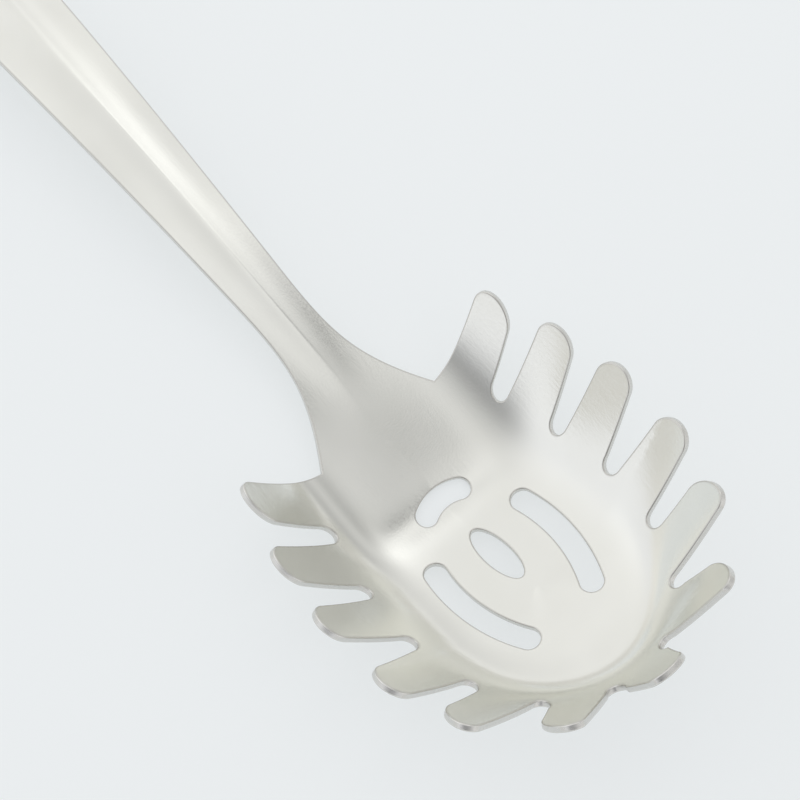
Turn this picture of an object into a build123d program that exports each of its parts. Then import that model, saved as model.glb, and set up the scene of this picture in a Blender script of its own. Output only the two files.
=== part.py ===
from build123d import *
import os
from math import atan, cos, degrees, exp, hypot, pi, radians, sin

# Pasta server, one piece: a blank cut from stainless steel sheet, pierced with drain slots,
# then pressed into a toothed bowl with a ridged, arched handle.
# Millimetres. The sheet is shaped in the press frame: X runs along the tool towards the bowl's
# tip, Y is across, Z = 0 is the middle of the sheet under the bowl's floor, and X = 0 is at the
# centre drain hole. Distances called "back" run from there towards the handle.
# The finished piece is then tipped back and set down on Z = 0, as it rests on a table.

# Sheet
sheet_thickness = 1.3

# Bowl floor: straight sides, with an oval front
floor_half_width = 18.6
floor_front = 36.0
floor_oval_centre = 10.5

# Bowl wall: slopes are rise per unit of run, and the wall steepens as it rises
wall_bend = 5.3
side_wall_slope = 0.854
front_wall_slope = 1.615
heel_wall_slope = 1.205
front_wall_focus = 5
wall_curve_radius = 46.0

# Rim: the line through the roots of the gaps, a short half oval in front and a long one behind
rim_centre = 4.0
rim_half_width = 26.3
rim_front = 36.0
rim_back = 50.0
rim_steps = 2000

# Tines, listed from the tip tine back to the heel tine, with their plan angle from +X
tine_pitch = 13.6
tine_half_width = 4.05
tine_reach = 8.2
tine_reach_shares = (0.48, 0.78, 0.95, 0.97, 1.0, 1.0, 1.0)
tine_angles = (0.0, 61.0, 85.0, 84.0, 93.5, 94.5, 94.0)
gap_root_radius = 1.8

# Shoulders, neck and handle outline
shoulder_back = 31.7
shoulder_half_width = 14.6
shoulder_slope = 0.7
flare_back = 46.0
flare_half_width = 7.0
neck_back = 64.0
neck_half_width = 5.95
grip_back = 118.0
grip_half_width = 8.8
handle_back = 232.0
handle_half_width = 12.0
handle_end_length = 10.0

# Rise of the handle out of the floor, and the arch along it
rise_start = 14.5
rise_bend = 6.5
rise_slope = 0.608
arch_start = 30.0
arch_radius = 373.0

# Ridge pressed along the handle: it fades in at the neck, and its top widens to a flat band
ridge_height = 1.2
ridge_start = 45.0
ridge_run_in = 6.0
ridge_round = 0.8
ridge_flank = 3.0
ridge_split_start = 98.0
ridge_split_bend = 10.0
ridge_spread = 0.035

# Drain openings in the floor
drain_half_length = 6.9
drain_half_width = 2.6
drain_centre = 0.0
slot_width = 4.5
slot_start = -4.8
slot_middle = 7.1
slot_end = 17.1
slot_side_shares = (0.602, 0.618, 0.435)    # of the floor's half width, at the slot's start, middle and end
heel_slot_width = 4.2
heel_slot_back = 16.1
heel_slot_end_back = 15.0
heel_slot_half_length = 4.3

# Hanging hole near the handle's end
hang_hole_radius = 3.0
hang_hole_inset = 11.0

# Sampling of the press form
form_rows = 90
form_columns = 50
form_centre_share = 0.3
form_margin = 3.0
form_tolerance = 0.01
form_degrees = (3, 5)


def rounded(distance, blend):
    """Zero well below zero, the distance itself well above, and a smooth turn in between."""
    return (distance + hypot(distance, blend)) / 2


def centre_height(x):
    """Height of the sheet's centre line, without the bowl's wall or the ridge."""
    back = rounded(-rise_start - x, rise_bend)
    arched = rounded(back - arch_start, rise_bend)
    return rise_slope * back - arched**2 / (2 * arch_radius)


def wall_height(x, y):
    """Height that the bowl's wall adds outside the floor."""
    ahead = max(x - floor_oval_centre, 0)
    behind = max(floor_oval_centre - x, 0)
    if ahead > 0:
        out = hypot(ahead, y)
        ratio = hypot(ahead / (floor_front - floor_oval_centre), y / floor_half_width)
        distance = out * (1 - 1 / ratio)
        facing = (ahead / out) ** front_wall_focus
        slope = side_wall_slope + (front_wall_slope - side_wall_slope) * facing
    else:
        distance = abs(y) - floor_half_width
        along = min(behind / (floor_oval_centre + shoulder_back), 1)
        slope = side_wall_slope + (heel_wall_slope - side_wall_slope) * along
    climb = rounded(distance, wall_bend)
    return slope * climb + climb**2 / (2 * wall_curve_radius)


def ridge_drop(x, y):
    """How far the handle's flanks fall away from the ridge."""
    grown = 1 / (1 + exp((x + ridge_start) / ridge_run_in))
    top = ridge_spread * rounded(-ridge_split_start - x, ridge_split_bend)
    flank = rounded(abs(y) - top, ridge_round)
    return ridge_height * grown * (1 - exp(-flank / ridge_flank))


def press_height(x, y):
    """Height of the sheet's middle surface in the press frame."""
    return centre_height(x) + wall_height(x, y) - ridge_drop(x, y)


def rim_point(distance):
    """Point on the rim in plan, at an arc length from the rim's front end."""
    point = Vector(rim_centre + rim_front, 0)
    turn = 0
    while distance > 0:
        turn += pi / rim_steps
        reach = rim_front if turn < pi / 2 else rim_back
        step = Vector(rim_centre + reach * cos(turn), rim_half_width * sin(turn)) - point
        point += step * min(distance / step.length, 1)
        distance -= step.length
    return point


def on_plan(degrees_from_x):
    return Vector(cos(radians(degrees_from_x)), sin(radians(degrees_from_x)))


def tine_outline(number):
    """Rear side, cap edge and front side of one tine: a half oval, flattened by the wall's slope."""
    out = on_plan(tine_angles[number])
    side = Vector(-out.Y, out.X)
    root = rim_point(number * tine_pitch)
    centre = root + out * tine_reach * tine_reach_shares[number]
    end = centre + out * tine_half_width
    rise = press_height(end.X, end.Y) - press_height(centre.X, centre.Y)
    squash = tine_half_width / hypot(tine_half_width, rise)
    cap_length = tine_half_width * squash
    cap = EllipticalCenterArc(
        centre, cap_length, tine_half_width,
        start_angle=90, arc_size=-180 if number else -90, rotation=tine_angles[number],
    )
    return centre + side * tine_half_width, cap, centre - side * tine_half_width


def half_outline():
    """Edges of one half of the outline in plan, from the handle's end to the tip."""
    end_corner = Vector(handle_end_length - handle_back, handle_half_width)
    shoulder = Vector(-shoulder_back, shoulder_half_width)
    edges = [
        EllipticalCenterArc(
            (handle_end_length - handle_back, 0), handle_end_length, handle_half_width,
            start_angle=180, arc_size=-90,
        ),
        Spline(
            end_corner,
            (-grip_back, grip_half_width),
            (-neck_back, neck_half_width),
            (-flare_back, flare_half_width),
            shoulder,
            tangents=[(1, 0), (1, shoulder_slope)],
        ),
    ]
    place = shoulder
    for number in reversed(range(len(tine_angles))):
        rear, cap, front = tine_outline(number)
        edges += [Line(place, rear), cap]
        if number == 0:
            break
        root = rim_point((number - 0.5) * tine_pitch)
        next_rear = tine_outline(number - 1)[0]
        mouth = ((front + next_rear) / 2 - root).normalized()
        side = Vector(-mouth.Y, mouth.X) * gap_root_radius
        bottom = root - mouth * gap_root_radius
        edges += [Line(front, root + side), ThreePointArc(root + side, bottom, root - side)]
        place = root - side
    return edges


def drain_openings():
    """The drain hole, the two long slots and the heel slot, in plan."""
    places = zip((slot_start, slot_middle, slot_end), slot_side_shares)
    along = ThreePointArc(*[(place, share * floor_half_width) for place, share in places])
    side_slot = SlotArc(along, slot_width)
    heel = ThreePointArc(
        (-heel_slot_end_back, heel_slot_half_length),
        (-heel_slot_back, 0),
        (-heel_slot_end_back, -heel_slot_half_length),
    )
    hole = Pos(drain_centre, 0) * Ellipse(drain_half_length, drain_half_width)
    return [side_slot, mirror(side_slot, about=Plane.XZ), SlotArc(heel, heel_slot_width), hole]


def press_form():
    """The press form's middle surface, a little wider than the blank all round."""
    tip = rim_centre + rim_front + tine_reach + tine_half_width
    half_width = rim_half_width + tine_reach + tine_half_width + form_margin
    low = -handle_back - form_margin
    rows = []
    for i in range(form_rows + 1):
        x = low + (tip + form_margin - low) * i / form_rows
        row = []
        for j in range(form_columns + 1):
            share = 2 * j / form_columns - 1
            y = half_width * (form_centre_share * share + (1 - form_centre_share) * share**3)
            row.append(Vector(x, y, press_height(x, y)))
        rows.append(row)
    low_degree, high_degree = form_degrees
    return Face.make_surface_from_array_of_points(
        rows, tol=form_tolerance, min_deg=low_degree, max_deg=high_degree
    )


def hang_hole_plane():
    """The plane of the sheet at the hanging hole, in the press frame."""
    x = hang_hole_inset - handle_back
    step = hang_hole_radius
    slope = (centre_height(x + step) - centre_height(x - step)) / (2 * step)
    return Plane((x, 0, centre_height(x)), x_dir=(1, 0, slope), z_dir=(-slope, 0, 1))


def pressed_sheet():
    """The blank laid on the press form and given the sheet's thickness, square to the surface."""
    half = half_outline()
    blank = make_face(half + [mirror(edge, about=Plane.XZ) for edge in half])
    for opening in drain_openings():
        blank -= opening
    below = centre_height(0) - sheet_thickness - form_margin
    above = centre_height(-handle_back) + sheet_thickness + form_margin
    cutter = extrude(Pos(0, 0, below) * blank, above - below)
    middle = (press_form() & cutter).face()
    upper_half = Solid.thicken(middle, sheet_thickness / 2)
    upper = upper_half.faces().sort_by(SortBy.AREA)[-2:].sort_by(Axis.Z)[-1]
    sheet = Solid.thicken(upper, -sheet_thickness)
    drill = Cylinder(hang_hole_radius, 2 * (ridge_height + sheet_thickness))
    return sheet - hang_hole_plane() * drill


def rest_tilt():
    """Angle by which the piece tips back before the handle's end and the bowl's heel both rest."""
    shares = [i / form_rows for i in range(form_rows + 1)]
    heel = [floor_front * share - shoulder_back for share in shares]
    heel_line = [(x, press_height(x, 0)) for x in heel]
    slopes = []
    for share in shares:
        x = handle_end_length * (1 - cos(share * pi / 2)) - handle_back
        height = press_height(x, handle_half_width * sin(share * pi / 2))
        slopes.append(max((height - low) / (heel_x - x) for heel_x, low in heel_line))
    return degrees(atan(min(slopes)))


def server_body():
    """The finished piece as it rests on Z = 0, with X = 0 midway along it."""
    tipped = Rot(0, -rest_tilt(), 0)
    sheet = tipped * pressed_sheet()
    box = sheet.bounding_box()
    return Pos(-box.center().X, 0, -box.min.Z) * sheet


os.makedirs("parts", exist_ok=True)
export_step(server_body(), "parts/server_body.step")
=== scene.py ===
from math import cos, hypot, pi, radians, sin

import bpy
import numpy as np
from mathutils import Matrix, Vector
from mathutils.geometry import delaunay_2d_cdt


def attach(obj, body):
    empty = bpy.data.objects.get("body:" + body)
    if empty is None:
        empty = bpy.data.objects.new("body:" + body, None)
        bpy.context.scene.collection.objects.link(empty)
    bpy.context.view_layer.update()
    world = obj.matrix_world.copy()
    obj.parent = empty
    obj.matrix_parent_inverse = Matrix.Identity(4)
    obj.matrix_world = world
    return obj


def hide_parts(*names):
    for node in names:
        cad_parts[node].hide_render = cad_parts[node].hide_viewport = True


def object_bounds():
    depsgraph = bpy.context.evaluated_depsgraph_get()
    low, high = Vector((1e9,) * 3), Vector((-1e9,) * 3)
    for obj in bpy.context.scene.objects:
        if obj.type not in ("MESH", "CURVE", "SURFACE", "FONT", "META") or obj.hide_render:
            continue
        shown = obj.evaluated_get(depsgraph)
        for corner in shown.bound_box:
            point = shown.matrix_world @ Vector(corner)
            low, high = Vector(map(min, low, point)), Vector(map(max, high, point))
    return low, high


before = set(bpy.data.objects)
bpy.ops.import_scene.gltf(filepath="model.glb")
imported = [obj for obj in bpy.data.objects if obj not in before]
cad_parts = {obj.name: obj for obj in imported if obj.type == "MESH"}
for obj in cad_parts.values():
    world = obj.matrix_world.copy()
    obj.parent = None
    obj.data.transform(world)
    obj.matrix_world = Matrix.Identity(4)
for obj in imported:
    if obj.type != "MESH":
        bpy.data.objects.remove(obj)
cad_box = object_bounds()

# Pasta server: one pressed sheet of satin steel, on a pale floor under a soft ceiling.
# The sheet's shape is worked out in mm in the press frame: X runs towards the bowl's tip, Y is
# across, and Z = 0 is the middle of the sheet under the bowl's floor. The finished points are
# tipped and set down as the server rests, and turned into metres.

MM = 0.001

# ---- sizes of the pressed sheet, in mm
THICK = 1.3
EDGE_ROUND = 0.3
FLOOR_HALF, FLOOR_FRONT, FLOOR_CENTRE = 18.6, 36.0, 10.5
WALL_BEND, SIDE_SLOPE, FRONT_SLOPE, HEEL_SLOPE = 5.3, 0.854, 1.615, 1.205
FRONT_FOCUS, WALL_CURVE = 5, 46.0
RIM_CENTRE, RIM_HALF, RIM_FRONT, RIM_BACK, RIM_STEPS = 4.0, 26.3, 36.0, 50.0, 2000
TINE_PITCH, TINE_HALF, TINE_REACH = 13.6, 4.05, 8.2
TINE_REACHES = (0.48, 0.78, 0.95, 0.97, 1.0, 1.0, 1.0)
TINE_ANGLES = (0.0, 61.0, 85.0, 84.0, 93.5, 94.5, 94.0)
GAP_ROUND = 1.8
SHOULDER_BACK, SHOULDER_HALF, SHOULDER_SLOPE = 31.7, 14.6, 0.7
HANDLE_LINE = [(-118.0, 8.8), (-64.0, 5.95), (-46.0, 7.0)]
HANDLE_BACK, HANDLE_HALF, END_LENGTH = 232.0, 12.0, 10.0
RISE_START, RISE_BEND, RISE_SLOPE, ARCH_START, ARCH_RADIUS = 14.5, 6.5, 0.608, 30.0, 373.0
RIDGE_HEIGHT, RIDGE_START, RIDGE_RUN, RIDGE_ROUND, RIDGE_FLANK = 1.2, 45.0, 6.0, 0.8, 3.0
SPLIT_START, SPLIT_BEND, SPLIT_SPREAD = 98.0, 10.0, 0.035
DRAIN = (6.9, 2.6)
SLOT_WIDTH, SLOT_POINTS = 4.5, [(-4.8, 11.2), (7.1, 11.5), (17.1, 8.1)]
HEEL_WIDTH, HEEL_POINTS = 4.2, [(-15.0, 4.3), (-16.1, 0.0), (-15.0, -4.3)]
HANG_ROUND, HANG_INSET = 3.0, 11.0

# ---- how fine the mesh is, in mm
OUTLINE_STEP = 0.42
GRID_STEP = 0.9
GRID_ROW = 0.87 * GRID_STEP    # rows of near equilateral triangles
GRID_HALF_WIDTH = 40.0
GRID_PAST_RIM = 8.0
GRID_CLEARANCE = 0.5
MERGE_DISTANCE = 1e-6
SLOPE_STEP = 1e-3
LEAST_LENGTH = 1e-9            # in place of zero, under a division
LARGEST_POWER = 60             # past it the ridge is all there or not there
SWEEP_PIECES = 4               # the fewest that a curve is cut into
REST_SAMPLES = 91
POINTS_AT_ONCE = 200

# Rows of points round a cut edge, from the top face to the underside: the side, the turn away from
# upright in degrees, and how much of a cut edge it is, which the steel's material reads
CUT_START = 0.5
EDGE_ROWS = [(1, 30, 0.7), (1, 60, 0.85), (1, 90, 1.0), (-1, 90, 1.0), (-1, 60, 0.85), (-1, 30, 0.7)]


# ---- shape of the pressed surface
def rounded(distance, blend):
    """Zero well below zero, the distance itself well above, and a smooth turn in between."""
    return (distance + np.hypot(distance, blend)) / 2


def centre_height(x):
    """Height of the sheet's centre line, without the bowl's wall or the ridge."""
    back = rounded(-RISE_START - x, RISE_BEND)
    return RISE_SLOPE * back - rounded(back - ARCH_START, RISE_BEND) ** 2 / (2 * ARCH_RADIUS)


def height(x, y):
    """Height of the sheet's middle surface: the centre line, the bowl's wall and the handle's ridge."""
    ahead = np.maximum(x - FLOOR_CENTRE, 0)
    behind = np.maximum(FLOOR_CENTRE - x, 0)
    out = np.maximum(np.hypot(ahead, y), LEAST_LENGTH)
    ratio = np.hypot(ahead / (FLOOR_FRONT - FLOOR_CENTRE), y / FLOOR_HALF)
    ratio = np.maximum(ratio, LEAST_LENGTH)
    front = ahead > 0
    distance = np.where(front, out * (1 - 1 / ratio), np.abs(y) - FLOOR_HALF)
    facing = (ahead / out) ** FRONT_FOCUS
    along = np.minimum(behind / (FLOOR_CENTRE + SHOULDER_BACK), 1)
    slope = np.where(
        front,
        SIDE_SLOPE + (FRONT_SLOPE - SIDE_SLOPE) * facing,
        SIDE_SLOPE + (HEEL_SLOPE - SIDE_SLOPE) * along,
    )
    climb = rounded(distance, WALL_BEND)
    wall = slope * climb + climb**2 / (2 * WALL_CURVE)
    power = np.clip((x + RIDGE_START) / RIDGE_RUN, -LARGEST_POWER, LARGEST_POWER)
    grown = 1 / (1 + np.exp(power))
    top = SPLIT_SPREAD * rounded(-SPLIT_START - x, SPLIT_BEND)
    flank = rounded(np.abs(y) - top, RIDGE_ROUND)
    return centre_height(x) + wall - RIDGE_HEIGHT * grown * (1 - np.exp(-flank / RIDGE_FLANK))


def normals(xy):
    """Unit normals of the middle surface at points of the plan."""
    x, y, h = xy[:, 0], xy[:, 1], SLOPE_STEP
    gx = (height(x + h, y) - height(x - h, y)) / (2 * h)
    gy = (height(x, y + h) - height(x, y - h)) / (2 * h)
    n = np.stack([-gx, -gy, np.ones_like(gx)], 1)
    return n / np.linalg.norm(n, axis=1)[:, None]


# ---- outline in plan
def rim_points():
    """Points along the rim, the line through the roots of the gaps, and how far each is from its start."""
    turn = np.linspace(0, pi, RIM_STEPS + 1)
    reach = np.where(turn < pi / 2, RIM_FRONT, RIM_BACK)
    points = np.stack([RIM_CENTRE + reach * np.cos(turn), RIM_HALF * np.sin(turn)], 1)
    run = np.concatenate([[0], np.cumsum(np.linalg.norm(np.diff(points, axis=0), axis=1))])
    return points, run


RIM, RIM_RUN = rim_points()


def rim_point(distance):
    return np.array([np.interp(distance, RIM_RUN, RIM[:, 0]), np.interp(distance, RIM_RUN, RIM[:, 1])])


def on_plan(angle):
    return np.array([cos(radians(angle)), sin(radians(angle))])


def line(a, b):
    """Points from a to b, without b."""
    n = max(int(np.ceil(np.linalg.norm(np.subtract(b, a)) / OUTLINE_STEP)), 1)
    return [np.add(a, np.subtract(b, a) * i / n) for i in range(n)]


def sweep(centre, u, v, start, end):
    """Points on centre + u cos + v sin, from start to end in radians, without the last."""
    length = abs(end - start) * max(np.linalg.norm(u), np.linalg.norm(v))
    n = max(int(np.ceil(length / OUTLINE_STEP)), SWEEP_PIECES)
    turns = [start + (end - start) * i / n for i in range(n)]
    return [np.add(centre, np.multiply(u, cos(t)) + np.multiply(v, sin(t))) for t in turns]


def clamped_spline(points, first, last):
    """Points on a smooth cubic through the given ones, over the chord length, with set end tangents."""
    p = np.array(points, float)
    first, last = np.array(first, float), np.array(last, float)
    h = np.linalg.norm(np.diff(p, axis=0), axis=1)
    n = len(p)
    a, b = np.zeros((n, n)), np.zeros((n, 2))
    a[0, 0] = a[-1, -1] = 1
    b[0], b[-1] = first / np.linalg.norm(first), last / np.linalg.norm(last)
    for i in range(1, n - 1):
        a[i, i - 1], a[i, i], a[i, i + 1] = h[i], 2 * (h[i - 1] + h[i]), h[i - 1]
        b[i] = 3 * (h[i] * (p[i] - p[i - 1]) / h[i - 1] + h[i - 1] * (p[i + 1] - p[i]) / h[i])
    m = np.linalg.solve(a, b)
    found = []
    for i in range(n - 1):
        k = int(np.ceil(h[i] / OUTLINE_STEP))
        for t in np.arange(k) / k:
            found.append(
                (2 * t**3 - 3 * t**2 + 1) * p[i] + (t**3 - 2 * t**2 + t) * h[i] * m[i]
                + (3 * t**2 - 2 * t**3) * p[i + 1] + (t**3 - t**2) * h[i] * m[i + 1]
            )
    return found


def tine(number):
    """A tine's cap: the centre of its half oval, and the oval's reach outwards and sideways."""
    out = on_plan(TINE_ANGLES[number])
    side = np.array([-out[1], out[0]])
    centre = rim_point(number * TINE_PITCH) + out * TINE_REACH * TINE_REACHES[number]
    low, high = (float(height(*np.array(place))) for place in (centre, centre + out * TINE_HALF))
    length = TINE_HALF * TINE_HALF / hypot(TINE_HALF, high - low)
    return centre, out * length, side * TINE_HALF


def outer_loop():
    """The blank's outline, from the handle's end along one side to the tip, and back mirrored."""
    end = (END_LENGTH - HANDLE_BACK, 0)
    shoulder = np.array([-SHOULDER_BACK, SHOULDER_HALF])
    half = sweep(end, (END_LENGTH, 0), (0, HANDLE_HALF), pi, pi / 2)
    half += clamped_spline(
        [(end[0], HANDLE_HALF), *HANDLE_LINE, shoulder], (1, 0), (1, SHOULDER_SLOPE)
    )
    place = shoulder
    for number in reversed(range(len(TINE_ANGLES))):
        centre, out, side = tine(number)
        half += line(place, centre + side)
        half += sweep(centre, out, side, pi / 2, 0 if number == 0 else -pi / 2)
        if number == 0:
            half.append(centre + out)
            break
        root = rim_point((number - 0.5) * TINE_PITCH)
        next_centre, _, next_side = tine(number - 1)
        mouth = (centre - side + next_centre + next_side) / 2 - root
        mouth = mouth / np.linalg.norm(mouth)
        across = np.array([-mouth[1], mouth[0]]) * GAP_ROUND
        half += line(centre - side, root + across)
        half += sweep(root, across, -mouth * GAP_ROUND, 0, pi)
        place = root - across
    half = np.array(half)
    return np.concatenate([half, (half * [1, -1])[1:-1][::-1]])


def slot_loop(points, width):
    """A slot of even width with round ends, along the arc through three points."""
    (ax, ay), (bx, by), (cx, cy) = points
    d = 2 * (ax * (by - cy) + bx * (cy - ay) + cx * (ay - by))
    a, b, c = ax * ax + ay * ay, bx * bx + by * by, cx * cx + cy * cy
    centre = np.array([
        (a * (by - cy) + b * (cy - ay) + c * (ay - by)) / d,
        (a * (cx - bx) + b * (ax - cx) + c * (bx - ax)) / d,
    ])
    rays = [np.subtract(p, centre) for p in points]
    radius = np.linalg.norm(rays[0])
    turns = np.unwrap([np.arctan2(r[1], r[0]) for r in rays])
    first, last = turns[0], turns[2]
    way = 1 if last > first else -1
    ex, ey = np.array([1.0, 0]), np.array([0, 1.0])
    ends = [centre + radius * np.array([cos(t), sin(t)]) for t in (first, last)]
    half = width / 2
    loop = sweep(centre, ex * (radius + half), ey * (radius + half), first, last)
    loop += sweep(ends[1], ex * half, ey * half, last, last + way * pi)
    loop += sweep(centre, ex * (radius - half), ey * (radius - half), last, first)
    loop += sweep(ends[0], ex * half, ey * half, first + pi, first + pi + way * pi)
    return np.array(loop)


def loops():
    """The outline and the five openings, each with the steel on its left."""
    x = HANG_INSET - HANDLE_BACK
    fall = float(centre_height(np.array(x + HANG_ROUND)) - centre_height(np.array(x - HANG_ROUND)))
    flat = 2 * HANG_ROUND / hypot(2 * HANG_ROUND, fall)
    slot = slot_loop(SLOT_POINTS, SLOT_WIDTH)
    holes = [
        np.array(sweep((0, 0), (DRAIN[0], 0), (0, DRAIN[1]), 0, 2 * pi)),
        slot,
        slot * [1, -1],
        slot_loop(HEEL_POINTS, HEEL_WIDTH),
        np.array(sweep((x, 0), (HANG_ROUND * flat, 0), (0, HANG_ROUND), 0, 2 * pi)),
    ]
    found = []
    for i, loop in enumerate([outer_loop()] + holes):
        x, y = loop[:, 0], loop[:, 1]
        area = np.sum(x * np.roll(y, -1) - np.roll(x, -1) * y) / 2
        found.append(loop if (area > 0) == (i == 0) else loop[::-1])
    return found


# ---- mesh
def inside(points, polygons):
    """Which points lie in the steel: inside an odd number of the polygons."""
    odd = np.zeros(len(points), bool)
    for loop in polygons:
        x, y = points[:, 0][:, None], points[:, 1][:, None]
        x0, y0 = loop[:, 0][None], loop[:, 1][None]
        x1, y1 = np.roll(x0, -1, 1), np.roll(y0, -1, 1)
        crosses = (y0 > y) != (y1 > y)
        at = x0 + (y - y0) * (x1 - x0) / np.where(y1 == y0, LEAST_LENGTH, y1 - y0)
        odd ^= (np.sum(crosses & (x < at), 1) % 2).astype(bool)
    return odd


def far_from(points, polygons, least):
    """Which points are further than this from every point of the polygons, taken some at a time."""
    keep = np.ones(len(points), bool)
    for loop in polygons:
        for part in np.array_split(loop, max(len(loop) // POINTS_AT_ONCE, 1)):
            d = np.hypot(points[:, 0][:, None] - part[:, 0], points[:, 1][:, None] - part[:, 1])
            keep &= d.min(1) > least
    return keep


def outward(loop):
    """Unit vectors along the sheet that point out of the steel, square to the outline."""
    points = np.column_stack([loop, height(*loop.T)])
    out = np.cross(np.roll(points, -1, 0) - np.roll(points, 1, 0), normals(loop))
    return out / np.linalg.norm(out, axis=1)[:, None]


def filled(rims):
    """Plan points with the rims' own first, the triangles that fill the rims, and the rims' edges."""
    xs = np.arange(-HANDLE_BACK, RIM_CENTRE + RIM_FRONT + GRID_PAST_RIM, GRID_STEP)
    ys = np.arange(-GRID_HALF_WIDTH, GRID_HALF_WIDTH, GRID_ROW)
    gx, gy = np.meshgrid(xs, ys)
    gx[::2] += GRID_STEP / 2
    grid = np.column_stack([gx.ravel(), gy.ravel()])
    grid = grid[inside(grid, rims)]
    grid = grid[far_from(grid, rims, GRID_CLEARANCE)]
    flat = np.concatenate(rims + [grid])
    edges, start = [], 0
    for rim in rims:
        size = len(rim)
        edges += [(start + i, start + (i + 1) % size) for i in range(size)]
        start += size
    made = delaunay_2d_cdt([Vector(p) for p in flat], edges, [], 0, MERGE_DISTANCE, True)
    origin = [ids[0] if ids else -1 for ids in made[3]]
    if min(origin) < 0 or len(set(origin)) != len(origin):
        raise ValueError("the outline crosses itself")
    triangles = np.array(origin)[np.array(made[2])]
    triangles = triangles[inside(flat[triangles].mean(1), rims)]
    a, b, c = (flat[triangles[:, k]] for k in range(3))
    turn = (b - a)[:, 0] * (c - a)[:, 1] - (b - a)[:, 1] * (c - a)[:, 0]
    triangles[turn < 0] = triangles[turn < 0][:, ::-1]
    return flat, triangles, edges


def sheet_mesh():
    """The whole sheet: top and underside, joined round every cut edge by a small rounding."""
    outline = loops()
    out = [outward(loop) for loop in outline]
    rims = [loop - way[:, :2] * EDGE_ROUND for loop, way in zip(outline, out)]
    flat, triangles, edges = filled(rims)
    out = np.concatenate(out)
    total, count = len(out), len(flat)

    up = normals(flat)
    middle = np.column_stack([flat, height(*flat.T)])
    points = [middle + up * THICK / 2, middle - up * THICK / 2]
    facing = [up, -up]
    cut = [np.zeros(count), np.zeros(count)]
    cut[0][:total] = cut[1][:total] = CUT_START
    rows = [np.arange(total)]
    for number, (side, turn, level) in enumerate(EDGE_ROWS):
        way = out * sin(radians(turn)) + up[:total] * (side * cos(radians(turn)))
        core = middle[:total] + up[:total] * (side * (THICK / 2 - EDGE_ROUND))
        points.append(core + way * EDGE_ROUND)
        facing.append(way)
        cut.append(np.full(total, level))
        rows.append(2 * count + number * total + np.arange(total))
    rows.append(count + np.arange(total))

    faces = [tuple(t) for t in triangles] + [tuple(t[::-1] + count) for t in triangles]
    for a, b in zip(rows, rows[1:]):
        faces += [(a[p], b[p], b[q], a[q]) for p, q in edges]
    return np.concatenate(points), np.concatenate(facing), np.concatenate(cut), faces


# ---- resting place
def rest_tilt():
    """Turn, in radians, at which the bowl's heel and the handle's round end both touch the table."""
    x = FLOOR_FRONT * np.linspace(0, 1, REST_SAMPLES) - SHOULDER_BACK
    low = height(x, np.zeros_like(x))
    turn = np.linspace(0, pi / 2, REST_SAMPLES)
    ex = END_LENGTH * (1 - np.cos(turn)) - HANDLE_BACK
    ez = height(ex, HANDLE_HALF * np.sin(turn))
    return float(np.arctan(((ez[:, None] - low) / (x - ex[:, None])).max(1).min()))


TILT = rest_tilt()
TURN = np.array([[cos(TILT), 0, -sin(TILT)], [0, 1, 0], [sin(TILT), 0, cos(TILT)]])


# ---- nodes
def add(tree, kind, values, **settings):
    """A new node with its settings, and its inputs set to numbers and colours or linked to outputs."""
    node = tree.nodes.new("ShaderNode" + kind)
    for name, value in settings.items():
        setattr(node, name, value)
    fill(tree, node, values)
    return node


def fill(tree, node, values):
    """Gives each named or numbered input its value: an output is linked, anything else is set."""
    for name, value in values.items():
        if isinstance(value, bpy.types.NodeSocket):
            tree.links.new(value, node.inputs[name])
        else:
            node.inputs[name].default_value = value


def maths(tree, kind, *values):
    return add(tree, "Math", dict(enumerate(values)), operation=kind).outputs["Value"]


def ranged(tree, value, given, wanted):
    """The value, moved from the given range to the wanted one and held inside it."""
    values = {"Value": value, "From Min": given[0], "From Max": given[1]}
    values.update({"To Min": wanted[0], "To Max": wanted[1]})
    return add(tree, "MapRange", values).outputs["Result"]


def mixed(tree, factor, a, b):
    """Colour a where the factor is 0, and b where it is 1."""
    values = {"Factor": factor, "A": a, "B": b}
    return add(tree, "Mix", values, data_type="RGBA").outputs["Result"]


def new_material(name):
    material = bpy.data.materials.new(name)
    material.use_nodes = True
    return material, material.node_tree, material.node_tree.nodes["Principled BSDF"]


# ---- materials
STEEL_DARKER = (0.79, 0.79, 0.745, 1)
STEEL_LIGHTER = (0.84, 0.84, 0.80, 1)
CLOUDS_PER_METRE, GRAINS_PER_METRE, STROKES_PER_METRE = 45, 2600, 1400
STROKE_STRETCH = (0.12, 1, 1)
NOISE_RANGE = (0.3, 0.7)       # where nearly all of a noise's values lie
CLOUD_ROUGHNESS, GRAIN_ROUGHNESS = (-0.02, 0.03), (0.13, 0.20)
RELIEF_STRENGTH, RELIEF_DEPTH = 0.06, 0.00015

# a line of painted shade where the cut begins, and a greyer, rougher side where the steel was sheared:
# their colours, how strong they get, and at what values of cut_edge they come in and the shade goes out
PAINTED_EDGE_SHADE, EDGE_SHADE_STRENGTH, EDGE_SHADE_COMES, EDGE_SHADE_GOES = (0.40, 0.38, 0.36, 1), 0.6, (0.4, 0.7), (0.7, 0.95)
CUT_SIDE, SIDE_STRENGTH, SIDE_COMES = (0.66, 0.65, 0.63, 1), 0.8, (0.85, 1)
SIDE_ROUGHNESS = 0.12

FLOOR_COLOUR, FLOOR_ROUGHNESS = (0.38, 0.39, 0.395, 1), 0.9
FLOOR_GLOW, FLOOR_GLOW_COLOUR = 0.64, (0.82, 0.85, 0.86, 1)


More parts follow.
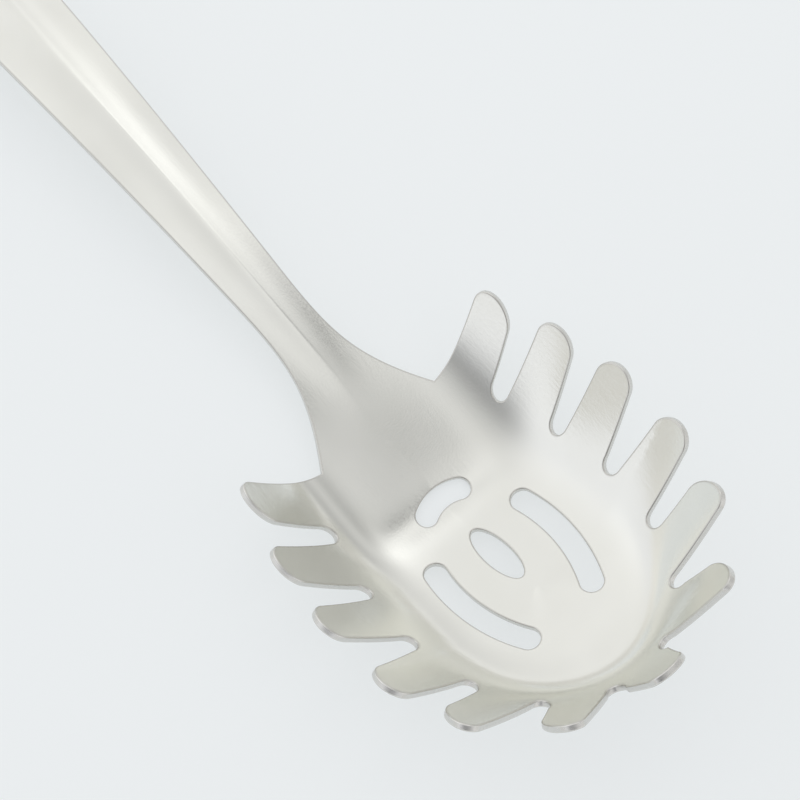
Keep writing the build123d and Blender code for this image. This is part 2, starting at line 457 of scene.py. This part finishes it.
def satin_steel():
    """Steel with slow clouds in tone and gloss, fine grain, faint strokes along the tool, greyer cuts, and a
    line of painted shade where each cut begins.
    """
    material, tree, shader = new_material("satin_steel")
    place = add(tree, "TexCoord", {}).outputs["Object"]

    def noise(scale, detail, stretch=(1, 1, 1)):
        where = add(tree, "Mapping", {"Vector": place, "Scale": stretch}).outputs["Vector"]
        return add(tree, "TexNoise", {"Vector": where, "Scale": scale, "Detail": detail}).outputs["Fac"]

    clouds = noise(CLOUDS_PER_METRE, 3)
    grain = noise(GRAINS_PER_METRE, 2)
    strokes = noise(STROKES_PER_METRE, 2, STROKE_STRETCH)
    cut = add(tree, "Attribute", {}, attribute_name="cut_edge").outputs["Fac"]

    tone = mixed(tree, ranged(tree, clouds, NOISE_RANGE, (0, 1)), STEEL_DARKER, STEEL_LIGHTER)
    # painted shade: a dark line in the steel's colour where the top face turns into the cut edge
    edge_shade_in = ranged(tree, cut, EDGE_SHADE_COMES, (0, EDGE_SHADE_STRENGTH))
    edge_shade_out = ranged(tree, cut, EDGE_SHADE_GOES, (1, 0))
    tone = mixed(tree, maths(tree, "MULTIPLY", edge_shade_in, edge_shade_out), tone, PAINTED_EDGE_SHADE)
    tone = mixed(tree, ranged(tree, cut, SIDE_COMES, (0, SIDE_STRENGTH)), tone, CUT_SIDE)

    cloudy = ranged(tree, clouds, NOISE_RANGE, CLOUD_ROUGHNESS)
    grainy = ranged(tree, grain, NOISE_RANGE, GRAIN_ROUGHNESS)
    sheared = ranged(tree, cut, SIDE_COMES, (0, SIDE_ROUGHNESS))
    rough = maths(tree, "ADD", maths(tree, "ADD", cloudy, grainy), sheared)

    relief = maths(tree, "ADD", grain, strokes)
    bump = add(tree, "Bump", {"Height": relief, "Strength": RELIEF_STRENGTH, "Distance": RELIEF_DEPTH})
    fill(tree, shader, {
        "Base Color": tone, "Metallic": 1.0, "Roughness": rough, "Normal": bump.outputs["Normal"],
    })
    return material


def pale_floor():
    """A matt floor that keeps the shadow. Its glow is for the camera and for what the steel mirrors."""
    material, tree, shader = new_material("pale_floor")
    ray = add(tree, "LightPath", {}).outputs
    seen = maths(tree, "MAXIMUM", ray["Is Camera Ray"], ray["Is Glossy Ray"])
    seen = maths(tree, "MAXIMUM", seen, ray["Is Transmission Ray"])
    fill(tree, shader, {
        "Base Color": FLOOR_COLOUR, "Roughness": FLOOR_ROUGHNESS, "Specular IOR Level": 0.0,
        "Emission Color": FLOOR_GLOW_COLOUR, "Emission Strength": maths(tree, "MULTIPLY", seen, FLOOR_GLOW),
    })
    return material


# ---- light
# a wide soft ceiling, brighter and darker in places, which the steel mirrors; the camera looks past it
CEILING_TONE, CEILING_LEAST = 0.97, 0.15
CEILING_PATCHES = [
    # across X, across Y, spread, strength
    (0.14, 1.88, 0.84, -0.41),
    (0.39, -0.89, 0.60, -0.76),
    (0.02, 0.45, 0.25, 0.58),
    (0.12, 0.53, 0.22, -0.76),
    (0.20, 0.16, 0.055, -0.42),
    (0.035, 0.23, 0.042, -0.64),
    (0.04, 0.33, 0.045, -0.30),
    (-0.62, 0.30, 0.15, 0.05),
    (-0.49, -0.70, 0.55, 0.26),
    (-0.26, 0.42, 0.15, 0.24),
    (-0.21, 0.23, 0.07, -0.26),
    (-0.50, 0.26, 0.09, -0.14),
    (-0.27, 0.03, 0.12, -0.07),
    (-0.40, -2.60, 0.90, 0.10),
]
CEILING_COOL, CEILING_PLAIN = (0.99, 1.0, 1.035, 1), (1.0, 1.0, 1.0, 1)
COOL_FADES = (-1.2, 0.0)       # from cool to plain, along Y

# the room behind it: even, and brighter low down beyond the handle
ROOM_COLOUR = (0.83, 0.82, 0.79, 1)
ROOM_BRIGHT_WAY = (-0.93, -0.36, 0)
ROOM_NEAR_IT = (0.8, 1.0)      # cosine of the angle from that way
ROOM_STRENGTH = (0.9, 1.15)


def soft_ceiling():
    """An even glow with bell-shaped patches added, and a little cooler on the -Y side."""
    material, tree, shader = new_material("soft_ceiling")
    tree.nodes.remove(shader)
    place = add(tree, "TexCoord", {}).outputs["Object"]
    total = CEILING_TONE
    for x, y, spread, strength in CEILING_PATCHES:
        away = add(tree, "VectorMath", {0: place, 1: (x, y, 0)}, operation="SUBTRACT").outputs["Vector"]
        square = add(tree, "VectorMath", {0: away, 1: away}, operation="DOT_PRODUCT").outputs["Value"]
        bell = maths(tree, "EXPONENT", maths(tree, "MULTIPLY", square, -0.5 / spread**2))
        total = maths(tree, "MULTIPLY_ADD", bell, strength, total)
    across = add(tree, "SeparateXYZ", {"Vector": place}).outputs["Y"]
    tint = mixed(tree, ranged(tree, across, COOL_FADES, (0, 1)), CEILING_COOL, CEILING_PLAIN)
    glow = {"Color": tint, "Strength": maths(tree, "MAXIMUM", total, CEILING_LEAST)}
    glow = add(tree, "Emission", glow).outputs["Emission"]
    tree.links.new(glow, tree.nodes["Material Output"].inputs["Surface"])
    return material


def studio_room():
    """A world of one colour, which is stronger towards its bright side."""
    world = bpy.data.worlds.new("studio")
    world.use_nodes = True
    tree = world.node_tree
    way = add(tree, "TexCoord", {}).outputs["Generated"]
    near = add(tree, "VectorMath", {0: way, 1: ROOM_BRIGHT_WAY}, operation="DOT_PRODUCT").outputs["Value"]
    strength = ranged(tree, near, ROOM_NEAR_IT, ROOM_STRENGTH)
    fill(tree, tree.nodes["Background"], {"Color": ROOM_COLOUR, "Strength": strength})
    return world


# ---- objects
FLOOR_REACH, CEILING_REACH, CEILING_HEIGHT = 3.0, 4.0, 0.7

# the camera, fitted to the photograph: its turn, in radians about an axis, and its shift in mm, both
# from the press frame to a view with X right, Y down and Z ahead
CAMERA_TURN = np.array([2.391995406, 1.010253110, -0.557968088])
CAMERA_SHIFT = np.array([18.44945951, 29.59932123, 301.887])
LENS, SENSOR, CLIP_START = 72, 36, 0.01


def new_object(name, data):
    made = bpy.data.objects.new(name, data)
    bpy.context.scene.collection.objects.link(made)
    return made


def server_sheet():
    """The dressed sheet in the part's frame, and where the press frame's zero went, in mm."""
    points, facing, cut, faces = sheet_mesh()
    points = points @ TURN.T
    shift = np.array([cad_box[0][0] / MM - points[:, 0].min(), 0, -points[:, 2].min()])
    mesh = bpy.data.meshes.new("server_sheet")
    mesh.from_pydata(
        [tuple(p) for p in (points + shift) * MM], [], [tuple(int(i) for i in f) for f in faces]
    )
    mesh.polygons.foreach_set("use_smooth", [True] * len(mesh.polygons))
    mesh.normals_split_custom_set_from_vertices([tuple(v) for v in facing @ TURN.T])
    mesh.attributes.new("cut_edge", "FLOAT", "POINT").data.foreach_set("value", cut)
    mesh.update()
    mesh.materials.append(satin_steel())
    return new_object("server_sheet", mesh), shift


def plane(name, reach, material, upside_down=False):
    """A square round zero that faces up, or down, and reaches this far each way."""
    mesh = bpy.data.meshes.new(name)
    corners = [(-reach, -reach, 0), (reach, -reach, 0), (reach, reach, 0), (-reach, reach, 0)]
    mesh.from_pydata(corners, [], [(3, 2, 1, 0) if upside_down else (0, 1, 2, 3)])
    mesh.materials.append(material)
    return new_object(name, mesh)


def photo_camera(shift):
    """The photograph's camera, set up in the press frame and moved along with the sheet."""
    angle = float(np.linalg.norm(CAMERA_TURN))
    x, y, z = CAMERA_TURN / angle
    skew = np.array([[0, -z, y], [z, 0, -x], [-y, x, 0]])
    view = np.eye(3) + sin(angle) * skew + (1 - cos(angle)) * skew @ skew
    right, down, forward = view @ TURN.T
    place = (TURN @ (-view.T @ CAMERA_SHIFT) + shift) * MM
    data = bpy.data.cameras.new("camera")
    data.lens = LENS
    data.sensor_width = SENSOR
    data.clip_start = CLIP_START
    camera = new_object("camera", data)
    camera.matrix_world = Matrix([*zip(right, -down, -forward, place), (0, 0, 0, 1)])
    return camera


sheet, shift = server_sheet()
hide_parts("server_body")
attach(sheet, "root")

floor = plane("floor", FLOOR_REACH, pale_floor())

ceiling = plane("ceiling", CEILING_REACH, soft_ceiling(), upside_down=True)
ceiling.location = (0, 0, CEILING_HEIGHT)
ceiling.visible_camera = False

bpy.context.scene.camera = photo_camera(shift)
bpy.context.scene.world = studio_room()
bpy.context.scene.view_settings.view_transform = "Standard"
